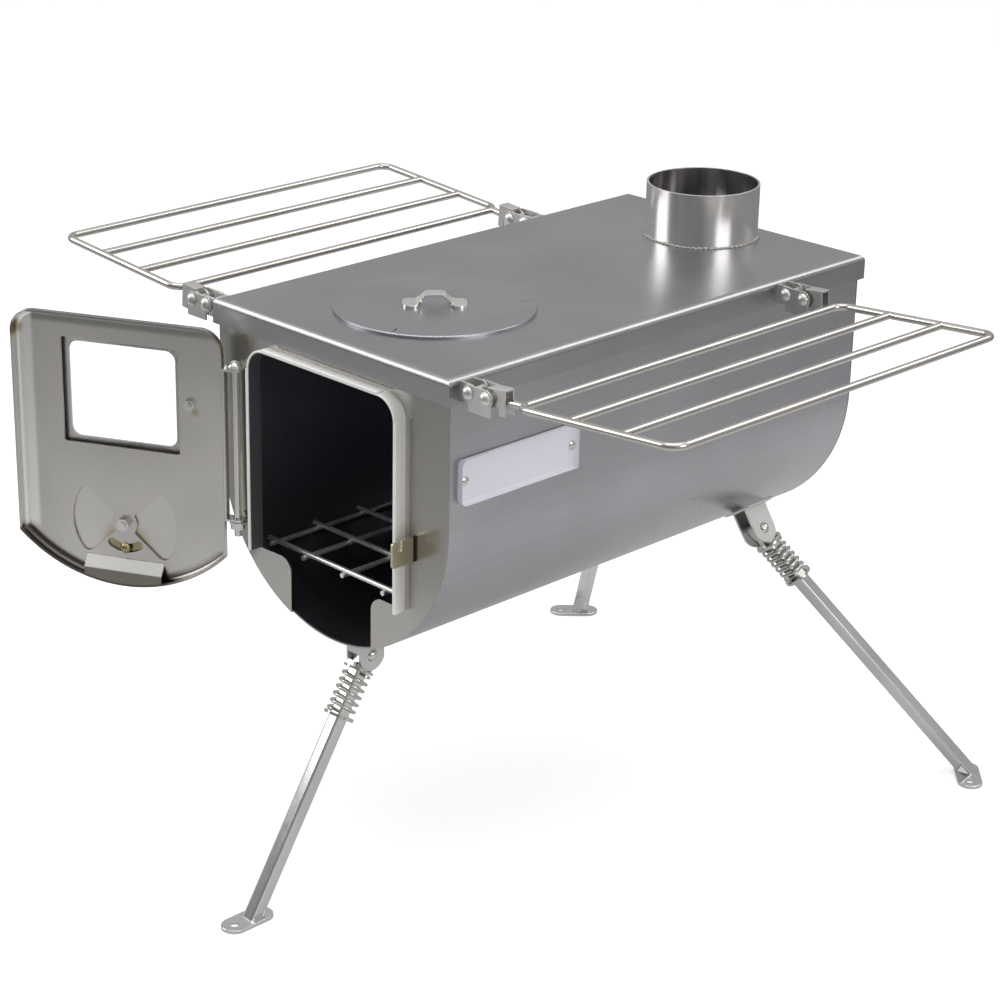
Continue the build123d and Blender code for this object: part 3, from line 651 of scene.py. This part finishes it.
class Look(Enum):
    """Every finish of the stove."""

    LID = Steel(
        "lid_steel", (0.42, 0.42, 0.428), 0.27, Grain.ALONG_Y, 0.04, variation=0.05, stretch=0.3,
    )
    SHELL = Steel(
        "shell_steel", (0.47, 0.46, 0.48), 0.26, Grain.ALONG_Y, 0.04,
        # inside: painted shade on the firebox side of the shell.
        variation=0.05, inside=True, stretch=0.3,
    )
    PLATE = Steel(
        # inside: painted shade on the firebox side; shade: painted shade on the plate's right side
        # above the lip, fading in upwards.
        "plate_steel", (0.50, 0.49, 0.46), 0.23, Grain.NONE, 0.03, warmth=0.25, inside=True,
        shade=PaintedShade(0, 0.0750, True, (0.36, 0.35, 0.325), 0.003, (0.215, 0.265)),
    )
    # The lip's inner faces carry painted shade.
    LIP = Steel("lip_steel", (0.93, 0.92, 0.88), 0.42, Grain.NONE, 0.04, opening_shade=True, metallic=0.3)
    KEEPER = Steel(
        "keeper_steel", (0.66, 0.60, 0.44), 0.30, Grain.NONE, 0.04,
        # Painted shadow in the gap at the keeper's root against the front plate.
        shade=PaintedShade(1, FRONT_Y - 0.0018, True, (0.05, 0.045, 0.04)),
    )
    DISC = Steel("disc_steel", (0.43, 0.43, 0.445), 0.27, Grain.ALONG_Y, 0.04, variation=0.05)
    COLLAR = Steel(
        "collar_steel", (0.86, 0.84, 0.82), 0.14, Grain.ALONG_Z, 0.04, variation=0.10, stretch=0.45,
    )
    DOOR = Steel(
        "door_steel", (0.635, 0.62, 0.595), 0.26, Grain.NONE, 0.03,
        # pan: painted highlight and painted shade on the pan's border.
        warmth=0.10, variation=0.07, pan_painted_light=True,
        spots=(
            HeatSpot(door_spot(0.0755, 0.006, -0.029), 0.010, 0.85, 0.7),
            HeatSpot(door_spot(-0.0540, 0.002, -0.0755), 0.005, 0.40, 0.15),
            HeatSpot(door_spot(-0.0740, 0.006, -0.026), 0.009, 0.4),
        ),
    )
    DEFLECTOR = Steel(
        "deflector_steel", (0.80, 0.79, 0.76), 0.24, Grain.NONE, 0.03,
        # Painted shade on the face below the fold.
        shade=PaintedShade(2, DEFLECTOR_FOLD, False, (0.22, 0.21, 0.18)),
    )
    DAMPER = Steel(
        "damper_steel", (0.68, 0.665, 0.63), 0.26, Grain.NONE, 0.03, variation=0.07,
        spots=(HeatSpot(door_spot(0.000, -0.001, -0.180), 0.026, 0.9, 0.35),),
    )
    HINGE = Steel("hinge_steel", (0.66, 0.65, 0.63), 0.11, Grain.NONE, 0.03)
    POLISHED = Steel("polished_steel", (0.72, 0.71, 0.68), 0.14, Grain.NONE, 0.02)
    HANDLE = Steel("handle_steel", (0.92, 0.91, 0.86), 0.16, Grain.NONE, 0.02)
    GRATE = Steel("grate_steel", (0.90, 0.89, 0.86), 0.26, Grain.NONE, 0.03, metallic=0.75)
    WIRE = Steel("wire_steel", (0.58, 0.565, 0.53), 0.16, Grain.NONE, 0.03, warmth=0.3)
    BRACKET = Steel("bracket_steel", (0.72, 0.71, 0.69), 0.34, Grain.NONE, 0.06, variation=0.14)
    TUBE = Steel("tube_steel", (0.72, 0.72, 0.715), 0.11, Grain.NONE, 0.04, variation=0.08)
    SPRING = Steel("spring_steel", (0.62, 0.61, 0.56), 0.11, Grain.NONE, 0.03)
    BRASS = Plain("brass", (0.40, 0.34, 0.19), 0.28, 1.0)
    GLASS = Plain("pane_glass", (1.0, 1.0, 1.0), 0.0, 0.0, 1.0, 0.12)
    LABEL = Plain("bare_plate", (0.74, 0.73, 0.79), 0.40, 0.0)
    WELD = Steel("weld_metal", (0.34, 0.33, 0.31), 0.34, Grain.NONE, 0.08)


class Paints:
    """The materials, each made once."""

    def __init__(self) -> None:
        """Starts with none made."""
        self.made: dict[Look, bpy.types.Material] = {}

    def get(self, look: Look) -> bpy.types.Material:
        """The material of a finish.

        Args:
            look: the finish.

        Returns:
            Its material.
        """
        if look not in self.made:
            self.made[look] = look.value.build()
        return self.made[look]

    def dress(self, obj: bpy.types.Object, look: Look) -> None:
        """Gives an object one finish all over.

        Args:
            obj: the object.
            look: the finish.
        """
        if not obj.material_slots:
            obj.data.materials.append(self.get(look))
        for slot in obj.material_slots:
            slot.material = self.get(look)


@dataclass
class FrameDress:
    """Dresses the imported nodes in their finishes."""

    paints: Paints
    looks: dict[str, Look] = field(default_factory=lambda: {
        "lid": Look.LID,
        "shell": Look.SHELL,
        "front_plate": Look.PLATE,
        "back_plate": Look.PLATE,
        "door_lip": Look.LIP,
        "flue_collar": Look.COLLAR,
        "cooktop_disc": Look.DISC,
        "cooktop_handle": Look.HANDLE,
        "grate": Look.GRATE,
        "keeper": Look.KEEPER,
        "hinge": Look.HINGE,
        "door_panel": Look.DOOR,
        "air_deflector": Look.DEFLECTOR,
        "damper_disc": Look.DAMPER,
        "window_frame": Look.DOOR,
        "window_glass": Look.GLASS,
        "stop_screw": Look.BRASS,
        "rack_wires": Look.WIRE,
        "rack": Look.BRACKET,
        "leg_bracket": Look.BRACKET,
        "leg_tube": Look.TUBE,
        "leg_foot": Look.TUBE,
        "leg_lock": Look.SPRING,
        "leg_spring": Look.SPRING,
        "latch": Look.BRACKET,
    })

    def build(self) -> None:
        """Gives each node the finish of the longest name that it starts with."""
        for name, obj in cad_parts.items():
            fitting = [key for key in self.looks if name.startswith(key)]
            look = self.looks[max(fitting, key=len)] if fitting else Look.POLISHED
            self.paints.dress(obj, look)
            log.info("node %s is dressed as %s", name, look.name)


def clear_selection() -> None:
    """Leaves nothing selected and no mode open."""
    if bpy.context.object and bpy.context.object.mode != "OBJECT":
        bpy.ops.object.mode_set(mode="OBJECT")
    bpy.ops.object.select_all(action="DESELECT")


def settle(obj: bpy.types.Object, name: str, angle: float = 40.0) -> bpy.types.Object:
    """Bakes an object's place into its mesh, names it and smooths it.

    Args:
        obj: the finished object.
        name: its name.
        angle: faces that meet at less than this many degrees shade as one.

    Returns:
        The same object.
    """
    clear_selection()
    obj.select_set(True)
    bpy.context.view_layer.objects.active = obj
    bpy.ops.object.transform_apply(location=True, rotation=True, scale=True)
    bpy.ops.object.mode_set(mode="EDIT")
    bpy.ops.mesh.select_all(action="SELECT")
    bpy.ops.mesh.normals_make_consistent(inside=False)
    bpy.ops.object.mode_set(mode="OBJECT")
    bpy.ops.object.shade_smooth_by_angle(angle=math.radians(angle))
    obj.name = name
    obj.data.name = name
    return obj


def apply_modifiers(obj: bpy.types.Object) -> None:
    """Applies every modifier of an object.

    Args:
        obj: the object.
    """
    clear_selection()
    obj.select_set(True)
    bpy.context.view_layer.objects.active = obj
    for modifier in list(obj.modifiers):
        bpy.ops.object.modifier_apply(modifier=modifier.name)


@dataclass
class SidePlate:
    """The bare plate riveted on the right side, near the front."""

    paints: Paints
    low_y: float = -0.1890 + SHIFT_Y
    high_y: float = -0.0860 + SHIFT_Y
    low_z: float = LID_TOP - 0.0840
    high_z: float = LID_TOP - 0.0540
    thick: float = 0.0007
    corner: float = 0.0045
    rivet_r: float = 0.0031
    rivet_ys: tuple[float, float] = (-0.1834 + SHIFT_Y, -0.0888 + SHIFT_Y)

    def build(self) -> list[bpy.types.Object]:
        """Makes the plate and its two rivets.

        Returns:
            The new objects.
        """
        made = [self._plate()]
        for index, y in enumerate(self.rivet_ys):
            made.append(self._rivet(index, y))
        for obj in made:
            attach(obj, "stove_body")
            log.info("piece %s", obj.name)
        return made

    def _plate(self) -> bpy.types.Object:
        """Makes the round-cornered plate.

        Returns:
            The plate.
        """
        clear_selection()
        middle = (
            BODY_R + self.thick / 2, (self.low_y + self.high_y) / 2, (self.low_z + self.high_z) / 2,
        )
        bpy.ops.mesh.primitive_cube_add(size=1.0, location=middle)
        obj = bpy.context.object
        obj.scale = (self.thick, self.high_y - self.low_y, self.high_z - self.low_z)
        bpy.ops.object.transform_apply(location=False, rotation=False, scale=True)
        bpy.ops.object.mode_set(mode="EDIT")
        bpy.ops.mesh.select_all(action="DESELECT")
        bm = bmesh.from_edit_mesh(obj.data)
        for edge in bm.edges:
            a, b = edge.verts
            edge.select = abs(a.co.x - b.co.x) > self.thick / 2
        bm.select_flush_mode()
        bmesh.update_edit_mesh(obj.data)
        bpy.ops.mesh.bevel(offset=self.corner, segments=6, affect="EDGES")
        bpy.ops.object.mode_set(mode="OBJECT")
        soft = obj.modifiers.new("soft", "BEVEL")
        soft.width = 0.0002
        soft.segments = 2
        soft.limit_method = "ANGLE"
        apply_modifiers(obj)
        self.paints.dress(obj, Look.LABEL)
        return settle(obj, "side_plate")

    def _rivet(self, index: int, y: float) -> bpy.types.Object:
        """One low domed rivet with a dimple.

        Args:
            index: its number.
            y: its place along the body.

        Returns:
            The rivet.
        """
        clear_selection()
        z = (self.low_z + self.high_z) / 2
        bpy.ops.mesh.primitive_cylinder_add(
            vertices=32, radius=self.rivet_r, depth=0.0006,
            location=(BODY_R + self.thick + 0.0003, y, z), rotation=(0.0, math.radians(90.0), 0.0),
        )
        obj = bpy.context.object
        bpy.ops.object.transform_apply(location=False, rotation=True, scale=True)
        bpy.ops.object.mode_set(mode="EDIT")
        bpy.ops.mesh.select_all(action="DESELECT")
        bm = bmesh.from_edit_mesh(obj.data)
        bm.faces.ensure_lookup_table()
        for face in bm.faces:
            face.select = face.normal.x > 0.9
        bmesh.update_edit_mesh(obj.data)
        bpy.ops.mesh.inset(thickness=self.rivet_r * 0.35)
        bpy.ops.transform.translate(value=(0.0006, 0.0, 0.0))
        bpy.ops.mesh.inset(thickness=self.rivet_r * 0.22)
        bpy.ops.transform.translate(value=(0.0002, 0.0, 0.0))
        bpy.ops.mesh.inset(thickness=self.rivet_r * 0.12)
        bpy.ops.transform.translate(value=(-0.0007, 0.0, 0.0))
        bpy.ops.object.mode_set(mode="OBJECT")
        self.paints.dress(obj, Look.POLISHED)
        return settle(obj, f"side_plate_rivet_{index + 1}", 50.0)


@dataclass
class CollarWeld:
    """The row of weld beads round the flue collar's foot."""

    paints: Paints
    beads: int = 64
    bead_r: float = 0.0017
    stand_off: float = 0.0004
    lift: float = 0.0002

    def build(self) -> bpy.types.Object:
        """Makes one bead, copies it round the collar and joins the ring.

        Returns:
            The ring.
        """
        clear_selection()
        ring: list[bpy.types.Object] = []
        bpy.ops.mesh.primitive_uv_sphere_add(segments=12, ring_count=8, radius=self.bead_r)
        first = bpy.context.object
        for index in range(self.beads):
            turn = 2 * math.pi * index / self.beads
            wobble = 1.0 + 0.22 * math.sin(5.3 * index) + 0.10 * math.sin(11.7 * index)
            bead = first if index == 0 else first.copy()
            if index:
                bead.data = first.data.copy()
                bpy.context.collection.objects.link(bead)
            reach = COLLAR_R + self.stand_off
            bead.location = (
                reach * math.cos(turn), COLLAR_Y + reach * math.sin(turn), LID_TOP + self.lift,
            )
            bead.rotation_euler = (0.0, 0.0, turn)
            bead.scale = (0.75 * wobble, 1.35, 0.70 * wobble)
            ring.append(bead)
        clear_selection()
        for bead in ring:
            bead.select_set(True)
        bpy.context.view_layer.objects.active = first
        bpy.ops.object.transform_apply(location=True, rotation=True, scale=True)
        bpy.ops.object.join()
        self.paints.dress(first, Look.WELD)
        settle(first, "collar_weld", 80.0)
        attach(first, "stove_body")
        log.info("piece %s", first.name)
        return first


@dataclass(frozen=True)
class Lamp:
    """One soft square lamp: where it hangs, how wide it is in metres and its power in watts."""

    name: str
    spot: Vec
    size: float
    power: float


@dataclass
class Studio:
    """Camera, lights, pale floor and white surroundings."""

    camera_at: Vec = (1.17081, -1.22564 + SHIFT_Y, 0.90055)
    forward: Vec = (-0.67155, 0.64182, -0.37026)
    roll: float = math.radians(0.597)
    lens: float = 94.32
    shift: tuple[float, float] = (0.0681, 0.0013)
    floor_size: float = 60.0
    room_low: Colour = (0.52, 0.51, 0.50)
    room_middle: Colour = (0.40, 0.40, 0.41)
    room_front: Colour = (0.11, 0.11, 0.12)
    room_top: Colour = (0.85, 0.85, 0.86)
    middle_rise: tuple[float, float] = (0.0, 0.30)
    top_rise: tuple[float, float] = (0.45, 0.90)
    front_side: tuple[float, float] = (-0.50, -0.78)
    front_fall: tuple[float, float] = (0.62, 0.42)
    mirrored_white: float = 0.12
    floor_colour: Colour = (0.80, 0.80, 0.80)
    floor_mirrored_far: Colour = (0.24, 0.24, 0.24)
    floor_mirrored_near: Colour = (0.58, 0.58, 0.58)
    floor_near: float = 0.5
    floor_far: float = 1.6
    floor_glow: float = 0.45
    lamps: tuple[Lamp, ...] = (
        Lamp("over", (0.1, -0.2, 2.4), 2.0, 14.0),
        Lamp("right", (2.05, 0.0, 1.10), 1.1, 9.5),
        Lamp("left", (-1.57, -1.32, 1.38), 1.2, 13.0),
        Lamp("behind", (0.79, 1.49, 1.75), 0.9, 6.4),
    )
    lamp_aim: Vec = (0.0, 0.0, 0.3)

    def build(self) -> None:
        """Makes the whole studio."""
        self._camera()
        self._world()
        self._floor()
        self._lights()
        bpy.context.scene.view_settings.view_transform = "Standard"
        bpy.context.scene.view_settings.look = "None"

    def _camera(self) -> None:
        """Puts the camera where the photograph was taken from."""
        forward = Vector(self.forward).normalized()
        right = forward.cross(Vector((0.0, 0.0, 1.0))).normalized()
        up = right.cross(forward)
        level, lean = math.cos(self.roll), math.sin(self.roll)
        right, up = right * level + up * lean, up * level - right * lean
        data = bpy.data.cameras.new("camera")
        data.lens = self.lens
        data.sensor_width = 36.0
        data.shift_x, data.shift_y = self.shift
        data.clip_end = 100.0
        camera = bpy.data.objects.new("camera", data)
        bpy.context.collection.objects.link(camera)
        turned = Matrix((right, up, -forward)).transposed().to_4x4()
        camera.matrix_world = Matrix.Translation(Vector(self.camera_at)) @ turned
        bpy.context.scene.camera = camera

    def _world(self) -> None:
        """White behind the stove; in the steel a soft grey studio, bright above, dark in front."""
        world = bpy.data.worlds.new("studio")
        bpy.context.scene.world = world
        world.use_nodes = True
        wiring = Wiring(world.node_tree)
        world.node_tree.nodes.clear()
        out = wiring.add("ShaderNodeOutputWorld")
        across, along, height = wiring.split(wiring.add("ShaderNodeTexCoord").outputs["Generated"])
        low = wiring.ramp(height, *self.middle_rise)
        high = wiring.ramp(height, *self.top_rise)
        grey = wiring.mix(low, self.room_low, self.room_middle)
        level = wiring.math("MAXIMUM", wiring.reach(across, along), 0.001)
        facing = wiring.math("DIVIDE", along, level)
        front = wiring.times(
            wiring.ramp(facing, *self.front_side), wiring.ramp(height, *self.front_fall),
        )
        grey = wiring.mix(front, grey, self.room_front)
        grey = wiring.mix(high, grey, self.room_top)
        seen = wiring.add("ShaderNodeBackground")
        wiring.join(grey, seen.inputs["Color"])
        white = wiring.add("ShaderNodeBackground")
        white.inputs["Color"].default_value = (*WHITE, 1.0)
        pick = wiring.add("ShaderNodeMixShader")
        wiring.join(self._seen_through(wiring), pick.inputs["Fac"])
        wiring.join(seen.outputs[0], pick.inputs[1])
        wiring.join(white.outputs[0], pick.inputs[2])
        wiring.join(pick.outputs[0], out.inputs["Surface"])

    def _seen_through(self, wiring: Wiring) -> Socket:
        """One for rays from the camera and through the pane, and a little for reflections.

        Args:
            wiring: the tree.

        Returns:
            The share of plain white that a ray sees.
        """
        path = wiring.add("ShaderNodeLightPath")
        camera, through = path.outputs["Is Camera Ray"], path.outputs["Is Transmission Ray"]
        straight = wiring.math("MAXIMUM", camera, through)
        mirrored = wiring.times(path.outputs["Is Glossy Ray"], self.mirrored_white)
        return wiring.math("MAXIMUM", straight, mirrored)

    def _floor(self) -> None:
        """A wide pale floor, in the steel brightest round the stove."""
        clear_selection()
        bpy.ops.mesh.primitive_plane_add(size=self.floor_size, location=(0.0, 0.0, 0.0))
        floor = bpy.context.object
        floor.name = "floor"
        material = bpy.data.materials.new("floor_white")
        material.use_nodes = True
        wiring = Wiring(material.node_tree)
        nodes = material.node_tree.nodes
        nodes.clear()
        out = wiring.add("ShaderNodeOutputMaterial")
        matt = wiring.add("ShaderNodeBsdfDiffuse")
        place = wiring.add("ShaderNodeTexCoord").outputs["Object"]
        spot = wiring.near(place, (0.0, 0.0, 0.0), self.floor_far, self.floor_near)
        mirrored = wiring.mix(spot, self.floor_mirrored_far, self.floor_mirrored_near)
        glossy = wiring.add("ShaderNodeLightPath").outputs["Is Glossy Ray"]
        wiring.join(wiring.mix(glossy, self.floor_colour, mirrored), matt.inputs["Color"])
        glow = wiring.add("ShaderNodeEmission")
        glow.inputs["Color"].default_value = (*WHITE, 1.0)
        strength = wiring.times(self._seen_through(wiring), self.floor_glow)
        wiring.join(strength, glow.inputs["Strength"])
        both = wiring.add("ShaderNodeAddShader")
        wiring.join(matt.outputs[0], both.inputs[0])
        wiring.join(glow.outputs[0], both.inputs[1])
        wiring.join(both.outputs[0], out.inputs["Surface"])
        floor.data.materials.append(material)

    def _lights(self) -> None:
        """Large soft lights: one overhead, one each side and one behind."""
        for lamp in self.lamps:
            data = bpy.data.lights.new(lamp.name, "AREA")
            data.size = lamp.size
            data.energy = lamp.power
            light = bpy.data.objects.new(lamp.name, data)
            light.location = lamp.spot
            heading = Vector(self.lamp_aim) - Vector(lamp.spot)
            light.rotation_euler = heading.to_track_quat("-Z", "Y").to_euler()
            bpy.context.collection.objects.link(light)


def main() -> None:
    """Builds the studio, dresses the frame and adds the detailed pieces."""
    logging.basicConfig(level=logging.INFO, format="%(message)s")
    paints = Paints()
    Studio().build()
    FrameDress(paints).build()
    SidePlate(paints).build()
    CollarWeld(paints).build()


if __name__ == "__main__":
    main()
